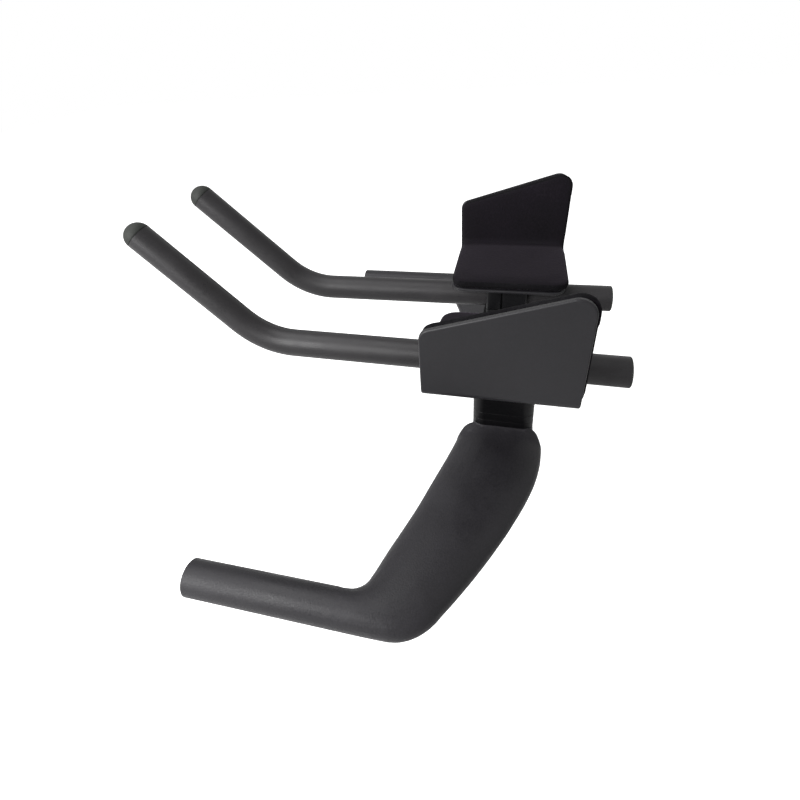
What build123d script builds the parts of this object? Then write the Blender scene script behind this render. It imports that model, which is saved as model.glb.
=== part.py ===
from build123d import *
from math import cos, pi, radians, sin, tan
import os

os.makedirs("parts", exist_ok=True)

# Time trial cockpit, in millimetres. +X is the direction of travel, +Y the rider's left, +Z up.
# The origin is the centre of the stem clamp zone of the base bar. The left half is modelled,
# and the right half is its mirror image.

# Base bar: clamp zone and riser platform
clamp_zone_d = 31.8
clamp_zone_length = 50.0
platform_chord = 48.0
platform_thickness = 33.0
platform_inner_y = 31.0
platform_outer_y = 55.0
platform_fullness = 3.8
seat_top = 17.0

# Base bar: shoulder, as stations of (y, trailing x, leading x, thickness, fullness)
shoulder_stations = [
    (55.0, -24.0, 24.0, 33.0, 3.8),
    (57.5, -27.6, 30.6, 33.4, 4.4),
    (60.5, -29.4, 33.2, 32.4, 3.4),
    (66.0, -30.4, 35.2, 30.0, 2.5),
]

# Base bar: wing, given by its leading and trailing edges in plan
wing_lead_points = [(68.4, 174.5), (57.8, 143.5), (46.8, 106.4)]
wing_trail_points = [(11.7, 177.3), (-5.2, 146.2), (-20.6, 111.3)]
root_lead_run = (-0.25, -1)
root_trail_run = (-0.05, -1)
wing_thickness = 25.5
wing_fullness = 2.1
wing_shares = (0.05, 0.085, 0.115, 0.145, 0.175, 0.21, 0.25, 0.3, 0.36, 0.44, 0.54, 0.66, 0.78, 0.9, 1)
round_share = 0.1
swell_share = 0.35
root_share = 0.6
section_points = 24
stretch = 3

# Base bar: corner and grip
grip_spacing = 420.0
grip_d = 23.0
grip_front_x = 188.3
grip_start_x = 103.0
grip_bore_d = 19.0
grip_bore_depth = 70.0
grip_edge = 0.8
corner_outer_r = 31.0
corner_outer_x = 57.0
corner_outer_turn = 54.0
corner_inner_r = 12.0
corner_inner_x = 84.8
corner_inner_turn = 70.0

# Extension tube
tube_d = 22.2
tube_wall = 1.6
tube_rear_x = -84.8
tube_rear_y = 52.45
tube_z = 74.5
toe_in = 0.77
tube_straight = 254.4
tube_bend_r = 64.6
tube_bend_angle = 44.4
tube_tip_length = 102.6
plug_clearance = 0.1
plug_depth = 14.0
plug_flange = 1.2
plug_edge = 0.6
cap_seam = 0.35

# Riser stack
stack_length = 46.5
stack_width = 28.5
stack_y = 45.5
stack_corner_r = 9.0
lower_spacer_height = 5.3
upper_spacer_height = 7.0
riser_height = 30.2
stack_edge = 0.2

# Extension clamp
clamp_x = 3.0
clamp_length = 34.6
clamp_wall = 4.0
clamp_clearance = 0.05
clamp_split = 2.0
clamp_lip_drop = 8.0
clamp_lip_gap = 0.5
clamp_flange_width = 12.4
clamp_flange_height = 10.0
clamp_edge_r = 1.6
groove_x = 7.2
groove_width = 2.0
groove_depth = 2.4

# Arm rest
rest_front_x = 51.2
rest_rear_x = -44.8
rest_lean = 2.5
rest_inner_y = 24.0
rest_outer_y = 117.4
rest_shell = 3.0
rest_bend_r = 6.0
rest_front_z = 138.7
rest_rear_z = 170.2
rest_front_r = 8.0
rest_rear_r = 10.0
rest_corner_r = 12.0
rest_edge_r = 1.2
rest_blank_spare = 10.0

# Arm pad and its hook-and-loop strips
strip_thickness = 1.0
strip_length = 76.0
strip_width = 20.0
strip_inset = 8.0
pad_thickness = 6.0
pad_inset = 0.8
pad_rear_reach = 2.0
pad_edge_r = 2.0

# Fasteners
bolt_d = 5.0
bolt_hole_d = 5.5
bolt_spacing = 20.0
thread_clearance = 0.05
csk_head_d = 9.2
csk_angle = 90.0
csk_sink = 0.2
bolt_head_d = 8.5
bolt_head_height = 5.0
csk_hex_d = 3.0
csk_hex_depth = 1.9
bolt_hex_d = 4.0
bolt_hex_depth = 2.6
insert_d = 9.0
insert_depth = 12.0
insert_floor = 2.0
rest_screw_length = 9.0
bolt_tip_gap = 1.6

# Heights of the stack, from the bar's seat upwards
lower_spacer_z = seat_top
upper_spacer_z = lower_spacer_z + lower_spacer_height
riser_z = upper_spacer_z + upper_spacer_height
saddle_z = riser_z + riser_height
clamp_top = tube_z + tube_d / 2 + clamp_wall
tray_top = clamp_top + rest_shell
strip_top = tray_top + strip_thickness

# Places that more than one piece uses
grip_y = grip_spacing / 2
bore_r = tube_d / 2 - tube_wall
clamp_y = tube_rear_y - (clamp_x - tube_rear_x) * tan(radians(toe_in))
bolt_y = clamp_y
clamp_inner_y = clamp_y - tube_d / 2 - clamp_wall
clamp_body_y = clamp_y + tube_d / 2 + clamp_wall
clamp_outer_y = clamp_body_y + clamp_flange_width
bolt_xs = [clamp_x - bolt_spacing / 2, clamp_x + bolt_spacing / 2]
flange_bolt_y = clamp_outer_y - clamp_flange_width / 2
tube_plane = Plane(
    origin=(tube_rear_x, tube_rear_y, tube_z),
    x_dir=(cos(radians(toe_in)), -sin(radians(toe_in)), 0),
    z_dir=(-sin(radians(toe_in)), -cos(radians(toe_in)), 0),
)


def chord_plane(trailing, leading):
    """Upright plane over a chord of the bar, its X from the trailing to the leading edge."""
    run = leading - trailing
    return Plane(origin=(leading + trailing) / 2, x_dir=run, z_dir=(run.Y, -run.X, 0))


def bar_section(trailing, leading, thickness, fullness):
    """One section of the bar: a superellipse, an ellipse at fullness 2 and squarer above."""
    half_chord = (leading - trailing).length / 2
    points = []
    for step in range(section_points):
        turn = 2 * pi * step / section_points
        across = abs(cos(turn)) ** (2 / fullness) * (1 if cos(turn) > 0 else -1)
        up = abs(sin(turn)) ** (2 / fullness) * (1 if sin(turn) > 0 else -1)
        points.append((half_chord * across, thickness / 2 * up))
    with BuildSketch(chord_plane(trailing, leading)) as section:
        with BuildLine():
            Spline(*points, periodic=True)
        make_face()
    return section.sketch


def round_section(plane, diameter):
    """A true circle, where the bar turns into a plain tube."""
    with BuildSketch(plane) as section:
        Circle(diameter / 2)
    return section.sketch


def plan_edge(edge_y, corner_x, corner_r, corner_turn, wing_points, root, root_run):
    """One edge of the bar in plan, from the grip back round the corner and down the wing."""
    with BuildLine() as edge:
        run = Line((grip_start_x, edge_y), (corner_x, edge_y))
        turn = JernArc(run @ 1, (-1, 0), corner_r, corner_turn)
        Spline(turn @ 1, *wing_points, root, tangents=[turn % 1, root_run])
    return edge.wires()[0]


def shoulder_sections():
    """Where the riser platform widens into the root of the wing."""
    sections = []
    for station_y, trail_x, lead_x, thickness, fullness in shoulder_stations:
        sections.append(
            bar_section(Vector(trail_x, station_y), Vector(lead_x, station_y), thickness, fullness)
        )
    return sections


def wing_sections():
    """Fanned evenly along both edges, so that the round grip opens out into the flat wing."""
    sections = []
    for share in wing_shares:
        swell = min(1, max(0, (share - round_share) / swell_share))
        swell = swell * swell * (3 - 2 * swell)
        rise = max(0, (share - root_share) / (1 - root_share)) ** 2
        thickness = grip_d + swell * (wing_thickness - grip_d) + rise * (root_thickness - wing_thickness)
        fullness = 2 + swell * (wing_fullness - 2) + rise * (root_fullness - wing_fullness)
        sections.append(bar_section(trailing_edge @ share, leading_edge @ share, thickness, fullness))
    return sections


# Base bar: one moulding, flat in side view. A round zone for the stem, two raised seats for the
# risers, two swept wings, and two corners that turn into straight, open-ended round grips.
root_y, root_trail_x, root_lead_x, root_thickness, root_fullness = shoulder_stations[-1]
trailing_edge = plan_edge(
    grip_y + grip_d / 2, corner_outer_x, corner_outer_r, corner_outer_turn,
    wing_trail_points, (root_trail_x, root_y), root_trail_run,
)
leading_edge = plan_edge(
    grip_y - grip_d / 2, corner_inner_x, corner_inner_r, corner_inner_turn,
    wing_lead_points, (root_lead_x, root_y), root_lead_run,
)

with BuildPart() as base_bar:
    clamp_zone = round_section(Plane.XZ, clamp_zone_d)
    neck_start = round_section(Plane.XZ.offset(-clamp_zone_length / 2), clamp_zone_d)
    neck_end = bar_section(
        Vector(-platform_chord / 2, platform_inner_y), Vector(platform_chord / 2, platform_inner_y),
        platform_thickness, platform_fullness,
    )
    grip_plane = Plane(origin=(grip_start_x, grip_y, 0), x_dir=(0, 1, 0), z_dir=(-1, 0, 0))
    grip_start = round_section(grip_plane, grip_d)
    extrude(clamp_zone, amount=-clamp_zone_length / 2)
    loft([neck_start, neck_end])
    extrude(neck_end, amount=platform_inner_y - platform_outer_y)
    loft(shoulder_sections())
    wing = [grip_start] + wing_sections()
    for first in range(0, len(wing) - 1, stretch):
        loft(wing[first:first + stretch + 1])
    extrude(grip_start, amount=grip_start_x - grip_front_x)
    with BuildSketch():
        with Locations((0, stack_y)):
            RectangleRounded(stack_length, stack_width, stack_corner_r)
    extrude(amount=seat_top)
    with Locations(*[(x, bolt_y, seat_top) for x in bolt_xs]):
        Hole(insert_d / 2, depth=insert_depth)
    with Locations(Location((grip_front_x, grip_y, 0), (0, 90, 0))):
        Hole(grip_bore_d / 2, depth=grip_bore_depth)
    chamfer(base_bar.faces().sort_by(Axis.X)[-1].edges(), length=grip_edge)
    mirror(about=Plane.XZ)
base_bar.part.label = "base_bar"
export_step(base_bar.part, "parts/base_bar.step")

# Extension: one tube with its rear run level, toed in a little, and one bend up to the tip.
with BuildPart() as extension:
    with BuildLine(tube_plane) as tube_path:
        rear_run = Line((plug_flange, 0), (tube_straight, 0))
        bend = JernArc(rear_run @ 1, rear_run % 1, tube_bend_r, tube_bend_angle)
        PolarLine(bend @ 1, tube_tip_length, direction=bend % 1)
    with BuildSketch(Plane(origin=tube_path.line @ 0, z_dir=tube_path.line % 0)):
        Circle(tube_d / 2)
        Circle(bore_r, mode=Mode.SUBTRACT)
    sweep()

# Tip cap: a domed plug whose dome stands flush with the tube, over a fine seam.
tip_axis = Axis(origin=tube_path.line @ 1, direction=tube_path.line % 1)
tip_side = Vector(sin(radians(toe_in)), cos(radians(toe_in)), 0)
with BuildPart() as tip_cap:
    with BuildSketch(Plane(tip_axis.position, tip_side, tip_side.cross(tip_axis.direction))):
        with BuildLine():
            spigot = Polyline(
                (0, -plug_depth), (bore_r - plug_clearance, -plug_depth), (bore_r - plug_clearance, 0),
                (tube_d / 2 - cap_seam, 0), (tube_d / 2, cap_seam),
            )
            dome = CenterArc((0, cap_seam), tube_d / 2, 0, 90)
            Line(dome @ 1, spigot @ 0)
        make_face()
    revolve(axis=tip_axis)

# Rear plug: a thin flange that closes the tube's rear end, with a spigot inside it.
rear_end = Plane(origin=tube_plane.origin, x_dir=(0, 0, 1), z_dir=tube_plane.x_dir)
with BuildPart() as rear_plug:
    with BuildSketch(rear_end):
        Circle(tube_d / 2)
    extrude(amount=plug_flange)
    chamfer(rear_plug.edges().group_by(Axis.X)[0], length=plug_edge)
    with BuildSketch(rear_end.offset(plug_flange)):
        Circle(bore_r - plug_clearance)
    extrude(amount=plug_depth)


def stack_block(bottom_z, height):
    """A block of the riser stack with its two bolt holes."""
    with BuildPart() as block:
        with BuildSketch(Plane.XY.offset(bottom_z)):
            with Locations((0, stack_y)):
                RectangleRounded(stack_length, stack_width, stack_corner_r)
        extrude(amount=height)
        ends = block.faces().filter_by(Axis.Z)
        chamfer(ends.edges(), length=stack_edge)
        with Locations(*[(x, bolt_y, bottom_z + height) for x in bolt_xs]):
            Hole(bolt_hole_d / 2, depth=height)
    return block


# Riser stack: two thin spacers and the taller riser, one on the other.
lower_spacer = stack_block(lower_spacer_z, lower_spacer_height)
upper_spacer = stack_block(upper_spacer_z, upper_spacer_height)
riser = stack_block(riser_z, riser_height)


def clamp_half(outline):
    """One half of the clamp, cut from its end view, with the tube's bore and the side groove."""
    with BuildPart() as half:
        with BuildSketch(Plane.YZ.offset(clamp_x - clamp_length / 2)):
            with BuildLine():
                Polyline(*outline, close=True)
            make_face()
        extrude(amount=clamp_length)
        fillet(half.edges().filter_by(Axis.Z), radius=clamp_edge_r)
        with BuildSketch(Plane(origin=(clamp_x, clamp_y, tube_z), z_dir=tube_plane.x_dir)):
            Circle(tube_d / 2 + clamp_clearance)
        extrude(amount=clamp_length, both=True, mode=Mode.SUBTRACT)
        with BuildSketch(Plane.XY.offset(saddle_z)):
            with Locations((groove_x, clamp_inner_y)):
                Rectangle(groove_width, 2 * groove_depth)
        extrude(amount=clamp_top - saddle_z, mode=Mode.SUBTRACT)
    return half


# Clamp: the saddle takes the tube from below and the cap closes over it. They meet in a low lip
# on the inboard side and in a bolted flange on the outboard side.
lip_z = tube_z - clamp_lip_drop
split_low = tube_z - clamp_split / 2
split_high = tube_z + clamp_split / 2
flange_under = split_low - clamp_flange_height

clamp_saddle = clamp_half([
    (clamp_inner_y, saddle_z), (clamp_inner_y, lip_z - clamp_lip_gap), (clamp_y, lip_z - clamp_lip_gap),
    (clamp_y, split_low), (clamp_outer_y, split_low), (clamp_outer_y, flange_under),
    (clamp_body_y, flange_under), (clamp_body_y, saddle_z),
])
with clamp_saddle:
    with Locations(*[(x, bolt_y, tube_z - tube_d / 2 - csk_sink) for x in bolt_xs]):
        CounterSinkHole(bolt_hole_d / 2, csk_head_d / 2 + thread_clearance, counter_sink_angle=csk_angle)
    with Locations(*[(x, flange_bolt_y, split_low) for x in bolt_xs]):
        Hole(bolt_hole_d / 2, depth=clamp_flange_height)

clamp_cap = clamp_half([
    (clamp_inner_y, lip_z), (clamp_inner_y, clamp_top), (clamp_outer_y, clamp_top),
    (clamp_outer_y, split_high), (clamp_y, split_high), (clamp_y, lip_z),
])
with clamp_cap:
    with Locations(*[(x, flange_bolt_y, clamp_top) for x in bolt_xs]):
        Hole(bolt_d / 2 + thread_clearance, depth=clamp_top - split_high)


def rest_blank(inner_y, bottom_z, outer_y, thickness, bend_r):
    """A long strip bent up along its outboard side, before its ends are trimmed."""
    with BuildPart() as blank:
        with BuildSketch(Plane.YZ.offset(rest_rear_x - rest_blank_spare)):
            with BuildLine():
                FilletPolyline(
                    (inner_y, bottom_z), (outer_y, bottom_z), (outer_y, rest_rear_z + rest_blank_spare),
                    radius=bend_r,
                )
                offset(amount=thickness, side=Side.LEFT)
            make_face()
        extrude(amount=rest_front_x - rest_rear_x + 2 * rest_blank_spare)
    return blank


def rest_side(front_x, rear_x):
    """The arm rest in side view: a wall that leans back and rises to the rear."""
    with BuildSketch(Plane.XZ) as side:
        with BuildLine():
            Polyline(
                (rear_x, clamp_top), (front_x, clamp_top), (front_x, rest_front_z),
                (rear_x - rest_lean, rest_rear_z), close=True,
            )
        make_face()
        fillet(side.vertices().sort_by(Axis.Y)[-1], radius=rest_rear_r)
        fillet(side.vertices().sort_by(Axis.X)[-2:].sort_by(Axis.Y)[-1], radius=rest_front_r)
    return side.sketch


# Arm rest: a shell with a flat tray and a high outer wall that rises to the rear.
arm_rest = rest_blank(rest_inner_y, clamp_top, rest_outer_y, rest_shell, rest_bend_r)
with arm_rest:
    extrude(rest_side(rest_front_x, rest_rear_x), amount=-rest_outer_y, mode=Mode.INTERSECT)
    fillet(arm_rest.edges().group_by(Axis.Y)[0].sort_by(SortBy.LENGTH)[:2], radius=rest_corner_r)
    wall_edges = arm_rest.faces().sort_by(Axis.Y)[-1].edges().sort_by(Axis.Z)
    fillet(wall_edges[1:], radius=rest_edge_r)
    with Locations(*[(x, flange_bolt_y, tray_top) for x in bolt_xs]):
        CounterSinkHole(bolt_hole_d / 2, csk_head_d / 2 + thread_clearance, counter_sink_angle=csk_angle)

# Hook-and-loop strips: two on the tray and one on the wall.
with BuildPart() as hook_strips:
    with BuildSketch(Plane.XY.offset(tray_top)):
        tray_middle = (rest_front_x + rest_rear_x) / 2
        inner_strip_y = rest_inner_y + strip_inset + strip_width / 2
        outer_strip_y = rest_outer_y - rest_bend_r - strip_inset / 2 - strip_width / 2
        with Locations((tray_middle, inner_strip_y), (tray_middle, outer_strip_y)):
            Rectangle(strip_length, strip_width)
    extrude(amount=strip_thickness)
    with BuildSketch(Plane.XZ.offset(-(rest_outer_y - rest_shell))):
        with Locations((tray_middle, tray_top + strip_inset + strip_width / 2)):
            Rectangle(strip_length, strip_width)
    extrude(amount=strip_thickness)

# Arm pad: fabric-covered foam over the tray and the wall. It stands a little inside the shell's
# rim in front and inboard, ends level with it on top, and reaches a little past it at the rear.
pad_outer_y = rest_outer_y - rest_shell - strip_thickness
arm_pad = rest_blank(rest_inner_y + pad_inset, strip_top, pad_outer_y, pad_thickness, rest_bend_r)
with arm_pad:
    pad_side = rest_side(rest_front_x - pad_inset, rest_rear_x - pad_rear_reach)
    extrude(pad_side, amount=-rest_outer_y, mode=Mode.INTERSECT)
    fillet(arm_pad.edges().group_by(Axis.Y)[0].sort_by(SortBy.LENGTH)[:2], radius=rest_corner_r)
    tray_face = arm_pad.faces().filter_by(Axis.Z)[-1]
    wall_face = arm_pad.faces().filter_by(Axis.Y).sort_by(Axis.Y)[-2]
    crease = tray_face.edges().sort_by(Axis.Y)[-1]
    borders = tray_face.edges() + wall_face.edges()
    fillet(borders.filter_by(lambda edge: edge.center() != crease.center()), radius=pad_edge_r)


def countersunk_bolts(places, top_z, length):
    """A group of countersunk bolts with hexagon sockets, heads up."""
    with BuildPart() as bolts:
        with Locations(*[(x, y, top_z) for x, y in places]):
            Cylinder(bolt_d / 2, length, align=(Align.CENTER, Align.CENTER, Align.MAX))
            Cone(
                bolt_d / 2, csk_head_d / 2, (csk_head_d - bolt_d) / 2,
                align=(Align.CENTER, Align.CENTER, Align.MAX),
            )
        with BuildSketch(Plane.XY.offset(top_z)):
            with Locations(*places):
                RegularPolygon(csk_hex_d / 2, 6, major_radius=False)
        extrude(amount=-csk_hex_depth, mode=Mode.SUBTRACT)
    return bolts


# Fasteners. The stack bolts have their heads in the saddle's floor, under the tube, and end in
# the inserts in the bar. The clamp bolts come up from below the flange, and the rest's screws
# come down through the tray into the same threaded holes.
stack_bolt_top = tube_z - tube_d / 2 - csk_sink
stack_bolts = countersunk_bolts(
    [(x, bolt_y) for x in bolt_xs], stack_bolt_top, stack_bolt_top - seat_top + insert_depth - insert_floor,
)
rest_screws = countersunk_bolts([(x, flange_bolt_y) for x in bolt_xs], tray_top, rest_screw_length)

with BuildPart() as bar_inserts:
    with Locations(*[(x, bolt_y, seat_top) for x in bolt_xs]):
        Cylinder(
            insert_d / 2 - thread_clearance, insert_depth, align=(Align.CENTER, Align.CENTER, Align.MAX),
        )
        Hole(bolt_d / 2 + thread_clearance, depth=insert_depth)

clamp_bolt_length = tray_top - rest_screw_length - bolt_tip_gap - flange_under
with BuildPart() as clamp_bolts:
    with Locations(*[(x, flange_bolt_y, flange_under) for x in bolt_xs]):
        Cylinder(
            bolt_head_d / 2, bolt_head_height, align=(Align.CENTER, Align.CENTER, Align.MAX),
        )
        Cylinder(bolt_d / 2, clamp_bolt_length, align=(Align.CENTER, Align.CENTER, Align.MIN))
    with BuildSketch(Plane.XY.offset(flange_under - bolt_head_height)):
        with Locations(*[(x, flange_bolt_y) for x in bolt_xs]):
            RegularPolygon(bolt_hex_d / 2, 6, major_radius=False)
    extrude(amount=bolt_hex_depth, mode=Mode.SUBTRACT)

# Every piece but the bar comes in a left and a mirrored right one.
left_pieces = {
    "extension": extension, "tip_cap": tip_cap, "rear_plug": rear_plug,
    "lower_spacer": lower_spacer, "upper_spacer": upper_spacer, "riser": riser,
    "clamp_saddle": clamp_saddle, "clamp_cap": clamp_cap, "arm_rest": arm_rest,
    "hook_strips": hook_strips, "arm_pad": arm_pad, "stack_bolts": stack_bolts,
    "rest_screws": rest_screws, "bar_inserts": bar_inserts, "clamp_bolts": clamp_bolts,
}
for name, piece in left_pieces.items():
    piece.part.label = f"left_{name}"
    export_step(piece.part, f"parts/left_{name}.step")
    with BuildPart() as twin:
        mirror(piece.part, about=Plane.XZ)
    twin.part.label = f"right_{name}"
    export_step(twin.part, f"parts/right_{name}.step")
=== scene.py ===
import bpy
import bmesh
from math import radians
from mathutils import Matrix, Vector


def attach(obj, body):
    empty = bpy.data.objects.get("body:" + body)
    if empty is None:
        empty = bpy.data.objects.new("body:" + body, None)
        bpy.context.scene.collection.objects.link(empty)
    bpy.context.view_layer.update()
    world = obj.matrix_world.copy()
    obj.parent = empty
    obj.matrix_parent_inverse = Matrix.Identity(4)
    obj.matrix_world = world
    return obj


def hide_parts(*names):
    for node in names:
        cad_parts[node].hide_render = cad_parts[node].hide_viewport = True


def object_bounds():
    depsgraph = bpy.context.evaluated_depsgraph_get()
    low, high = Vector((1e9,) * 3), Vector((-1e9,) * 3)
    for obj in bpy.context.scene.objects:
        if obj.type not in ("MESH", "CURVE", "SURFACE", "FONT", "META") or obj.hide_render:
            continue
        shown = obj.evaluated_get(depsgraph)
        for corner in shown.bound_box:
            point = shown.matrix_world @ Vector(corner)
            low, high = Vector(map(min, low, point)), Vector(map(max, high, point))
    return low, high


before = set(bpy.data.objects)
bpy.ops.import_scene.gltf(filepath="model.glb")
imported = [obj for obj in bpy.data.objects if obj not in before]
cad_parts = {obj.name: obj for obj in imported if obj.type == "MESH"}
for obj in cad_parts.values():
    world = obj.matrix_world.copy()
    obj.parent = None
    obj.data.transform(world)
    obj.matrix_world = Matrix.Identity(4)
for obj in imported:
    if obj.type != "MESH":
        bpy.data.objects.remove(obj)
cad_box = [list(corner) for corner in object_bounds()]

# Camera: it stands to the rider's left of the bar's middle and above it, tilted a little, and looks
# down and slightly forward. The lens is short, so the near grip looks large.
photo_camera = bpy.data.cameras.new("photo_camera")
photo_camera.sensor_width = 36.0
photo_camera.lens = 22.6335
photo_camera.shift_x = 0.016477
photo_camera.shift_y = -0.114983
photo_camera.clip_start = 0.01
viewpoint = bpy.data.objects.new("viewpoint", photo_camera)
viewpoint.location = (-0.002251, 0.360827, 0.302557)
viewpoint.rotation_euler = (radians(59.6434), radians(4.2733), radians(-166.2705))
bpy.context.scene.collection.objects.link(viewpoint)
bpy.context.scene.camera = viewpoint
bpy.context.scene.view_settings.view_transform = "Standard"

# Studio: a white floor and white air that stay white in the picture, and two square soft boxes. The
# strong one stands behind the camera on its left and lights the near sides. The weak one hangs
# overhead, a little in front, and lights the tops.
floor_drop = 0.12
floor_size = 6.0
floor_strength = 0.8
floor_mesh = bpy.data.meshes.new("studio_floor")
floor_shape = bmesh.new()
bmesh.ops.create_grid(floor_shape, x_segments=2, y_segments=2, size=floor_size / 2)
bmesh.ops.translate(floor_shape, vec=(0, 0, cad_box[0][2] - floor_drop), verts=floor_shape.verts)
floor_shape.to_mesh(floor_mesh)
floor_shape.free()
studio_floor = bpy.data.objects.new("studio_floor", floor_mesh)
bpy.context.scene.collection.objects.link(studio_floor)


def seen_directly(tree, ray_kinds):
    """1 for rays of these kinds, which show the backdrop, and 0 for the light that falls on things."""
    nodes, links = tree.nodes, tree.links
    path = nodes.new("ShaderNodeLightPath")
    seen = path.outputs[ray_kinds[0]]
    for kind in ray_kinds[1:]:
        either = nodes.new("ShaderNodeMath")
        either.operation = "MAXIMUM"
        links.new(seen, either.inputs[0])
        links.new(path.outputs[kind], either.inputs[1])
        seen = either.outputs[0]
    return seen


floor_paint = bpy.data.materials.new("floor_paint")
floor_paint.use_nodes = True
floor_tree = floor_paint.node_tree
floor_surface = floor_tree.nodes["Principled BSDF"]
floor_surface.inputs["Base Color"].default_value = (0.7, 0.7, 0.7, 1)
floor_surface.inputs["Roughness"].default_value = 0.9
floor_surface.inputs["Specular IOR Level"].default_value = 0.0
floor_surface.inputs["Emission Color"].default_value = (1, 1, 1, 1)
floor_glow = floor_tree.nodes.new("ShaderNodeMath")
floor_glow.operation = "MULTIPLY"
floor_glow.inputs[1].default_value = floor_strength
floor_seen = seen_directly(floor_tree, ["Is Camera Ray", "Is Transmission Ray"])
floor_tree.links.new(floor_seen, floor_glow.inputs[0])
floor_tree.links.new(floor_glow.outputs[0], floor_surface.inputs["Emission Strength"])
floor_mesh.materials.append(floor_paint)

studio_air = bpy.data.worlds.new("studio_air")
studio_air.use_nodes = True
air_tree = studio_air.node_tree
air_light = air_tree.nodes["Background"]
air_light.inputs["Color"].default_value = (1, 1, 1, 1)
air_strength = air_tree.nodes.new("ShaderNodeMapRange")
air_strength.inputs["To Min"].default_value = 0.3
air_strength.inputs["To Max"].default_value = 1.0
air_seen = seen_directly(air_tree, ["Is Camera Ray", "Is Glossy Ray", "Is Transmission Ray"])
air_tree.links.new(air_seen, air_strength.inputs["Value"])
air_tree.links.new(air_strength.outputs["Result"], air_light.inputs["Strength"])
bpy.context.scene.world = studio_air


def soft_lamp(name, place, target, size, watts):
    """A square soft box aimed at a point."""
    lamp = bpy.data.lights.new(name, "AREA")
    lamp.shape = "SQUARE"
    lamp.size = size
    lamp.energy = watts
    lamp_object = bpy.data.objects.new(name, lamp)
    aim = Vector(target) - Vector(place)
    lamp_object.rotation_euler = aim.to_track_quat("-Z", "Y").to_euler()
    lamp_object.location = place
    bpy.context.scene.collection.objects.link(lamp_object)


middle = Vector([(low + high) / 2 for low, high in zip(*cad_box)])
soft_lamp("side_box", place=(0.98, 1.02, 0.7), target=middle, size=1.1, watts=51.0)
soft_lamp("overhead_box", place=(0.6, 0.05, 1.2), target=middle, size=0.9, watts=11.5)


# Base bar: one alloy bar with open-ended grips and a fine matt powder coat, held in the stem at its
# middle. The coat's grain shows as specks in the highlights, and faint clouds, placed at random,
# make it lighter here and darker there.
def grain_group():
    """A fine random grain all over the surface, as a colour, a roughness and a normal."""
    cloud_size = 26.0
    mottle_to_roughness = 0.6
    bump_height = 0.0002
    group = bpy.data.node_groups.new("fine_grain", "ShaderNodeTree")
    sockets = group.interface
    for title in ("Fineness", "Depth", "Mottle", "Roughness"):
        sockets.new_socket(title, in_out="INPUT", socket_type="NodeSocketFloat")
    sockets.new_socket("Color", in_out="INPUT", socket_type="NodeSocketColor")
    sockets.new_socket("Color", in_out="OUTPUT", socket_type="NodeSocketColor")
    sockets.new_socket("Roughness", in_out="OUTPUT", socket_type="NodeSocketFloat")
    sockets.new_socket("Normal", in_out="OUTPUT", socket_type="NodeSocketVector")
    nodes, links = group.nodes, group.links
    asked = nodes.new("NodeGroupInput")
    given = nodes.new("NodeGroupOutput")
    where = nodes.new("ShaderNodeTexCoord")
    specks = nodes.new("ShaderNodeTexNoise")
    specks.inputs["Detail"].default_value = 2.0
    links.new(where.outputs["Object"], specks.inputs["Vector"])
    links.new(asked.outputs["Fineness"], specks.inputs["Scale"])
    clouds = nodes.new("ShaderNodeTexNoise")
    clouds.inputs["Scale"].default_value = cloud_size
    clouds.inputs["Detail"].default_value = 3.0
    links.new(where.outputs["Object"], clouds.inputs["Vector"])
    both = nodes.new("ShaderNodeMath")
    both.operation = "ADD"
    links.new(specks.outputs["Fac"], both.inputs[0])
    links.new(clouds.outputs["Fac"], both.inputs[1])
    centred = nodes.new("ShaderNodeMath")
    centred.operation = "SUBTRACT"
    centred.inputs[1].default_value = 1.0
    links.new(both.outputs[0], centred.inputs[0])
    amount = nodes.new("ShaderNodeMath")
    amount.operation = "MULTIPLY"
    links.new(centred.outputs[0], amount.inputs[0])
    links.new(asked.outputs["Mottle"], amount.inputs[1])
    gain = nodes.new("ShaderNodeMath")
    gain.operation = "ADD"
    gain.inputs[1].default_value = 1.0
    links.new(amount.outputs[0], gain.inputs[0])
    tint = nodes.new("ShaderNodeVectorMath")
    tint.operation = "SCALE"
    links.new(asked.outputs["Color"], tint.inputs[0])
    links.new(gain.outputs[0], tint.inputs["Scale"])
    links.new(tint.outputs["Vector"], given.inputs["Color"])
    rough = nodes.new("ShaderNodeMath")
    rough.operation = "MULTIPLY_ADD"
    rough.use_clamp = True
    rough.inputs[1].default_value = mottle_to_roughness
    links.new(amount.outputs[0], rough.inputs[0])
    links.new(asked.outputs["Roughness"], rough.inputs[2])
    links.new(rough.outputs[0], given.inputs["Roughness"])
    bump = nodes.new("ShaderNodeBump")
    bump.inputs["Distance"].default_value = bump_height
    links.new(asked.outputs["Depth"], bump.inputs["Strength"])
    links.new(specks.outputs["Fac"], bump.inputs["Height"])
    links.new(bump.outputs["Normal"], given.inputs["Normal"])
    return group


fine_grain = grain_group()


def grained_finish(name, color, roughness, fineness, depth, mottle, specular, metallic=0.0):
    """A material whose colour, roughness and normal come from the shared fine grain."""
    material = bpy.data.materials.new(name)
    material.use_nodes = True
    nodes, links = material.node_tree.nodes, material.node_tree.links
    grain = nodes.new("ShaderNodeGroup")
    grain.node_tree = fine_grain
    grain.inputs["Color"].default_value = (*color, 1)
    grain.inputs["Roughness"].default_value = roughness
    grain.inputs["Fineness"].default_value = fineness
    grain.inputs["Depth"].default_value = depth
    grain.inputs["Mottle"].default_value = mottle
    surface = nodes["Principled BSDF"]
    surface.inputs["Metallic"].default_value = metallic
    surface.inputs["Specular IOR Level"].default_value = specular
    links.new(grain.outputs["Color"], surface.inputs["Base Color"])
    links.new(grain.outputs["Roughness"], surface.inputs["Roughness"])
    links.new(grain.outputs["Normal"], surface.inputs["Normal"])
    return material


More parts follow.
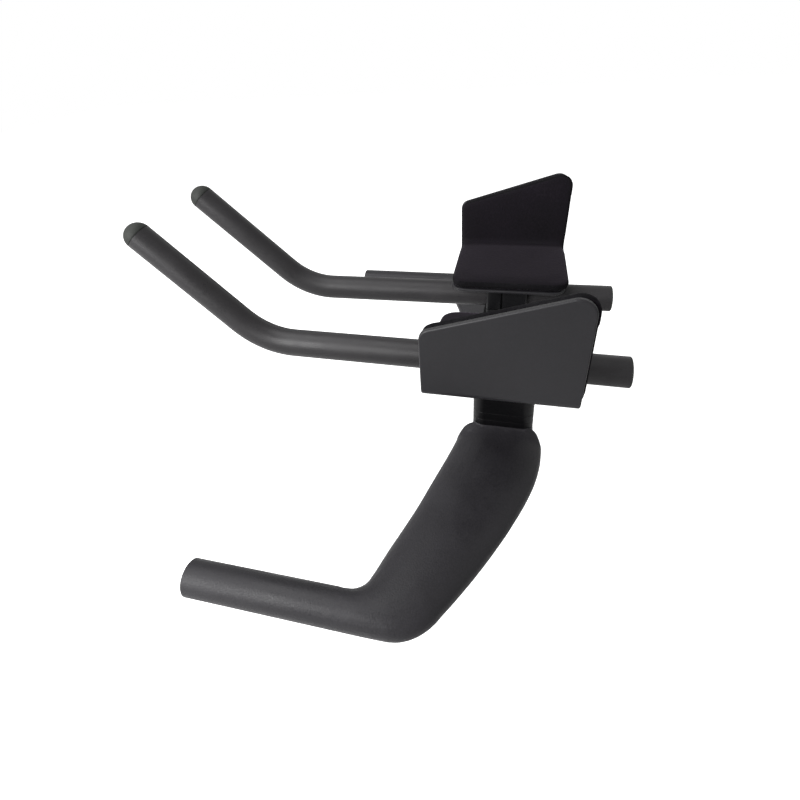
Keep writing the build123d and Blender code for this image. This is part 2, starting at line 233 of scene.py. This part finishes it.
def smooth_copy(node, material):
    """The CAD node's own shape, its triangles joined up so that round faces shade smoothly."""
    same_point = 0.000002
    crease = radians(35.0)
    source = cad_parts[node]
    mesh = source.data.copy()
    shape = bmesh.new()
    shape.from_mesh(mesh)
    bmesh.ops.remove_doubles(shape, verts=shape.verts, dist=same_point)
    shape.to_mesh(mesh)
    shape.free()
    mesh.materials.clear()
    mesh.materials.append(material)
    for polygon in mesh.polygons:
        polygon.material_index = 0
    mesh.shade_smooth()
    mesh.set_sharp_from_angle(angle=crease)
    piece = bpy.data.objects.new(f"{node}_finished", mesh)
    bpy.context.scene.collection.objects.link(piece)
    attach(piece, "root")
    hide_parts(node)
    return piece


def keep_flats(piece):
    """Large flat faces keep their own shade up to a rounded edge."""
    weighed = piece.modifiers.new("keep_flats", "WEIGHTED_NORMAL")
    weighed.keep_sharp = True


bar_coat = grained_finish(
    "bar_coat", color=(0.0133, 0.0126, 0.0145), roughness=0.45,
    fineness=1100.0, depth=0.7, mottle=0.8, specular=0.20,
)
keep_flats(smooth_copy("base_bar", bar_coat))

# Extensions: alloy tubes with one bend upwards, in a matt black coat much like the bar's. A clamp
# holds each of them towards its rear end.
tube_coat = grained_finish(
    "tube_coat", color=(0.0112, 0.0103, 0.0113), roughness=0.45,
    fineness=1100.0, depth=0.6, mottle=0.8, specular=0.24,
)
for side in ("left", "right"):
    smooth_copy(f"{side}_extension", tube_coat)

# Tip caps and rear plugs: moulded rubber, pushed into the tubes' ends, slightly greener and duller
# than the tubes.
cap_rubber = grained_finish(
    "cap_rubber", color=(0.0145, 0.0160, 0.0143), roughness=0.6,
    fineness=1200.0, depth=0.4, mottle=0.2, specular=0.16,
)
for side in ("left", "right"):
    smooth_copy(f"{side}_tip_cap", cap_rubber)
    smooth_copy(f"{side}_rear_plug", cap_rubber)

# Riser stack: two thin moulded spacers and a taller riser a side, in plain black, held down by the
# stack bolts. Their flat sides keep one shade, so that only the joints between them show.
stack_plastic = grained_finish(
    "stack_plastic", color=(0.0014, 0.0013, 0.0016), roughness=0.36,
    fineness=1200.0, depth=0.3, mottle=0.3, specular=0.13,
)
for side in ("left", "right"):
    for kind in ("lower_spacer", "upper_spacer", "riser"):
        keep_flats(smooth_copy(f"{side}_{kind}", stack_plastic))


# Extension clamps: a saddle and a cap of machined alloy, anodised black and bolted together round
# the tube. Their edges are broken by a small bevel.
def soften_edges(piece, width, segments):
    """Real edges are never sharp: a narrow bevel that catches a line of light."""
    flat_within = radians(0.5)
    edge_from = radians(40)
    shape = bmesh.new()
    shape.from_mesh(piece.data)
    bmesh.ops.dissolve_limit(
        shape, angle_limit=flat_within, verts=shape.verts, edges=shape.edges,
        use_dissolve_boundaries=False,
    )
    shape.to_mesh(piece.data)
    shape.free()
    bevel = piece.modifiers.new("soft_edges", "BEVEL")
    bevel.width = width
    bevel.segments = segments
    bevel.limit_method = "ANGLE"
    bevel.angle_limit = edge_from
    bevel.harden_normals = True


clamp_anodised = grained_finish(
    "clamp_anodised", color=(0.0025, 0.0025, 0.0030), roughness=0.4,
    fineness=1400.0, depth=0.2, mottle=0.2, specular=0.18,
)
for side in ("left", "right"):
    for kind in ("clamp_saddle", "clamp_cap"):
        clamp = smooth_copy(f"{side}_{kind}", clamp_anodised)
        soften_edges(clamp, width=0.0004, segments=2)

# Arm rest shells: injection moulded, smooth and matt, each screwed down on its clamp's cap. The
# flat tray and the flat wall keep one shade up to the rounded rim.
shell_plastic = grained_finish(
    "shell_plastic", color=(0.0100, 0.0096, 0.0110), roughness=0.4,
    fineness=700.0, depth=0.12, mottle=0.3, specular=0.20,
)
for side in ("left", "right"):
    keep_flats(smooth_copy(f"{side}_arm_rest", shell_plastic))

# Hook-and-loop strips: woven tape stuck to the shell, two strips on the tray and one on the wall.
# They hold the pad and hardly show.
strip_tape = grained_finish(
    "strip_tape", color=(0.006, 0.006, 0.006), roughness=0.9,
    fineness=2500.0, depth=1.0, mottle=0.4, specular=0.1,
)
for side in ("left", "right"):
    smooth_copy(f"{side}_hook_strips", strip_tape)

# Arm pads: a sheet of foam in a napped jersey cover, pressed on the strips. The side on the shell
# stays flat, and the side under the arm swells a little and rounds over at its edges and in the
# bend. Plain darker tape goes round the edge.
pad_jersey = grained_finish(
    "pad_jersey", color=(0.0051, 0.0042, 0.0057), roughness=0.9,
    fineness=520.0, depth=0.7, mottle=1.3, specular=0.06,
)
pad_surface = pad_jersey.node_tree.nodes["Principled BSDF"]
pad_surface.inputs["Sheen Roughness"].default_value = 0.35
pad_surface.inputs["Sheen Tint"].default_value = (0.75, 0.65, 0.8, 1)


def apply_modifiers(piece):
    """Work the piece's modifiers into its mesh."""
    depsgraph = bpy.context.evaluated_depsgraph_get()
    mesh = bpy.data.meshes.new_from_object(piece.evaluated_get(depsgraph))
    piece.modifiers.clear()
    piece.data = mesh


def even_skin(piece, voxel, smoothing):
    """The piece as one closed skin of small even faces, its steps smoothed away."""
    remesh = piece.modifiers.new("even_skin", "REMESH")
    remesh.mode = "VOXEL"
    remesh.voxel_size = voxel
    smooth = piece.modifiers.new("fair_skin", "CORRECTIVE_SMOOTH")
    smooth.smooth_type = "LENGTH_WEIGHTED"
    smooth.iterations = smoothing
    smooth.use_only_smooth = True
    apply_modifiers(piece)


def ease_bend(piece, glued, line_y, line_z, reach, rounds):
    """Foam doesn't fold sharply: the arm's side of the bend is smoothed to a wide round."""
    bend = piece.vertex_groups.new(name="bend")
    for vertex in piece.data.vertices:
        away = Vector((vertex.co.y - line_y, vertex.co.z - line_z)).length
        if vertex.index not in glued and away < reach:
            bend.add([vertex.index], 1 - away / reach, "REPLACE")
    smooth = piece.modifiers.new("ease_bend", "SMOOTH")
    smooth.factor = 0.5
    smooth.iterations = rounds
    smooth.vertex_group = "bend"
    apply_modifiers(piece)


def swell(piece, glued, growth, pressure, most):
    """Air pressure inside the cover. The glued back is held, no point moves further than most, and
    the moves are evened out, so that the cover stays taut."""
    last_frame = 20
    evening_rounds = 12
    held = piece.vertex_groups.new(name="held")
    held.add(list(glued), 1.0, "REPLACE")
    for vertex in piece.data.vertices:
        if vertex.index not in glued:
            vertex.co += vertex.normal * growth
    start = [vertex.co.copy() for vertex in piece.data.vertices]
    cloth = piece.modifiers.new("swell", "CLOTH")
    cloth.settings.quality = 5
    cloth.settings.use_pressure = True
    cloth.settings.uniform_pressure_force = pressure
    cloth.settings.effector_weights.gravity = 0
    cloth.settings.vertex_group_mass = "held"
    for step in range(1, last_frame + 1):
        bpy.context.scene.frame_set(step)
    apply_modifiers(piece)
    bpy.context.scene.frame_set(1)
    moves = [vertex.co - place for vertex, place in zip(piece.data.vertices, start)]
    moves = [move * (most / max(move.length, most)) for move in moves]
    near = [[] for _ in moves]
    for edge in piece.data.edges:
        near[edge.vertices[0]].append(edge.vertices[1])
        near[edge.vertices[1]].append(edge.vertices[0])
    for _ in range(evening_rounds):
        moves = [
            sum((moves[other] for other in others), moves[index]) / (len(others) + 1)
            for index, others in enumerate(near)
        ]
    for vertex, place, move in zip(piece.data.vertices, start, moves):
        if vertex.index not in glued:
            vertex.co = place + move


def edge_tape(surface, cover, tape, wall_from, tray_edge, sheen):
    """Plain darker tape round the pad's edge, where the skin faces away from the sheet's two sides."""
    nodes, links = surface.id_data.nodes, surface.id_data.links

    def number(operation, *given):
        """The result of one sum, from plain numbers and other nodes' results."""
        node = nodes.new("ShaderNodeMath")
        node.operation = operation
        for socket, value in zip(node.inputs, given):
            if isinstance(value, float):
                socket.default_value = value
            else:
                links.new(value, socket)
        return node.outputs[0]

    facing = nodes.new("ShaderNodeSeparateXYZ")
    links.new(nodes.new("ShaderNodeNewGeometry").outputs["Normal"], facing.inputs[0])
    place = nodes.new("ShaderNodeSeparateXYZ")
    links.new(nodes.new("ShaderNodeTexCoord").outputs["Object"], place.inputs[0])
    ends = number("ABSOLUTE", facing.outputs["X"])
    top = number("MULTIPLY", facing.outputs["Z"], number("GREATER_THAN", place.outputs["Z"], wall_from))
    near_middle = number("LESS_THAN", number("ABSOLUTE", place.outputs["Y"]), tray_edge)
    inboard = number("MULTIPLY", number("ABSOLUTE", facing.outputs["Y"]), near_middle)
    share = nodes.new("ShaderNodeMapRange")
    share.interpolation_type = "SMOOTHSTEP"
    share.inputs["From Min"].default_value = 0.5
    share.inputs["From Max"].default_value = 0.8
    links.new(number("MAXIMUM", ends, number("MAXIMUM", top, inboard)), share.inputs["Value"])
    blend = nodes.new("ShaderNodeMix")
    blend.data_type = "RGBA"
    links.new(share.outputs["Result"], blend.inputs["Factor"])
    links.new(cover, blend.inputs["A"])
    blend.inputs["B"].default_value = (*tape, 1)
    links.new(blend.outputs["Result"], surface.inputs["Base Color"])
    nap = number("MULTIPLY", number("SUBTRACT", 1.0, share.outputs["Result"]), sheen)
    links.new(nap, surface.inputs["Sheen Weight"])


left_pad = smooth_copy("left_arm_pad", pad_jersey)
even_skin(left_pad, voxel=0.0018, smoothing=2)
pad_skin = left_pad.data.vertices
pad_low = min(vertex.co.z for vertex in pad_skin)
pad_outer = max(vertex.co.y for vertex in pad_skin)
pad_inner = min(vertex.co.y for vertex in pad_skin)
towards_shell = [Vector((0, 1, 0)), Vector((0, 0, -1))]
faces_shell = 0.6
pad_back = {
    vertex.index for vertex in pad_skin
    if any(vertex.normal.dot(way) > faces_shell for way in towards_shell)
}
wall_foot_height = 0.02
tape_width = 0.003
pad_grain = pad_jersey.node_tree.nodes["Group"]
edge_tape(
    pad_surface, pad_grain.outputs["Color"], tape=(0.003, 0.0028, 0.0034),
    wall_from=pad_low + wall_foot_height, tray_edge=pad_inner + tape_width, sheen=0.12,
)
bend_from_outer = 0.009
bend_from_low = 0.006
ease_bend(
    left_pad, pad_back, line_y=pad_outer - bend_from_outer, line_z=pad_low + bend_from_low,
    reach=0.012, rounds=30,
)
swell(left_pad, pad_back, growth=0.0003, pressure=2.5, most=0.0010)
left_pad.data.shade_smooth()
right_pad = smooth_copy("right_arm_pad", pad_jersey)
right_pad.data = left_pad.data.copy()
right_pad.data.transform(Matrix.Scale(-1, 4, (0, 1, 0)))
right_pad.data.flip_normals()
for pad in (left_pad, right_pad):
    fine = pad.modifiers.new("fine_skin", "SUBSURF")
    fine.levels = 1
    fine.render_levels = 1

# Fasteners: blackened steel screws for the stack, the clamps and the arm rests, and the inserts
# in the bar that take the stack's bolts. Most are out of sight once the parts are together.
bolt_black = grained_finish(
    "bolt_black", color=(0.05, 0.05, 0.052), roughness=0.35,
    fineness=900.0, depth=0.2, mottle=0.2, specular=0.5, metallic=0.9,
)
for side in ("left", "right"):
    for kind in ("stack_bolts", "rest_screws", "bar_inserts", "clamp_bolts"):
        smooth_copy(f"{side}_{kind}", bolt_black)
